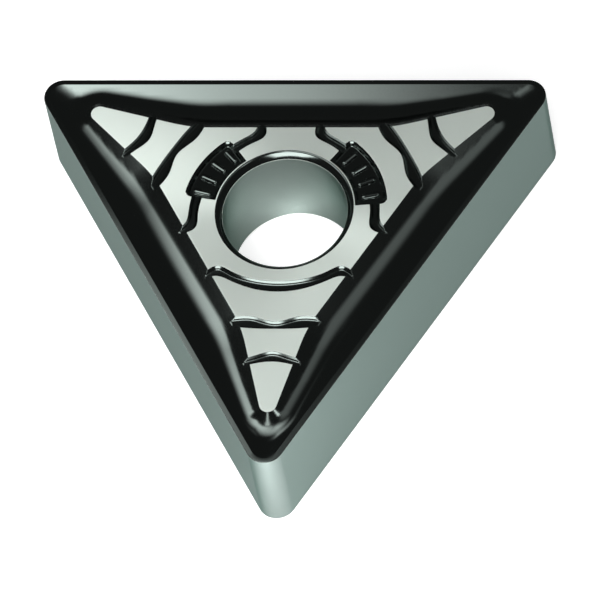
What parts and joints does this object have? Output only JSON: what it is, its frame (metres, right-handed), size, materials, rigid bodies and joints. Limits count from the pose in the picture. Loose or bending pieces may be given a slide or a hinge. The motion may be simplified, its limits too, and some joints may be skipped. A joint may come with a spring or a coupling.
{
  "type": "triangular carbide cutting insert",
  "caption": "Double-sided triangular carbide cutting insert with a chip groove, wavy channels in its seating plateau and a clamping bore.",
  "frame": {"origin": "on the bore axis at mid-thickness", "axes": "+Z along the bore axis through one seating face; one cutting edge runs along X on the +Y side, and the corner between the other two points to -Y"},
  "size_m": [0.0208, 0.0182, 0.0048],
  "materials": {
    "coated_carbide": "satin"
  },
  "bodies": {
    "root": {"insert_body": "coated_carbide"}
  },
  "joints": []
}
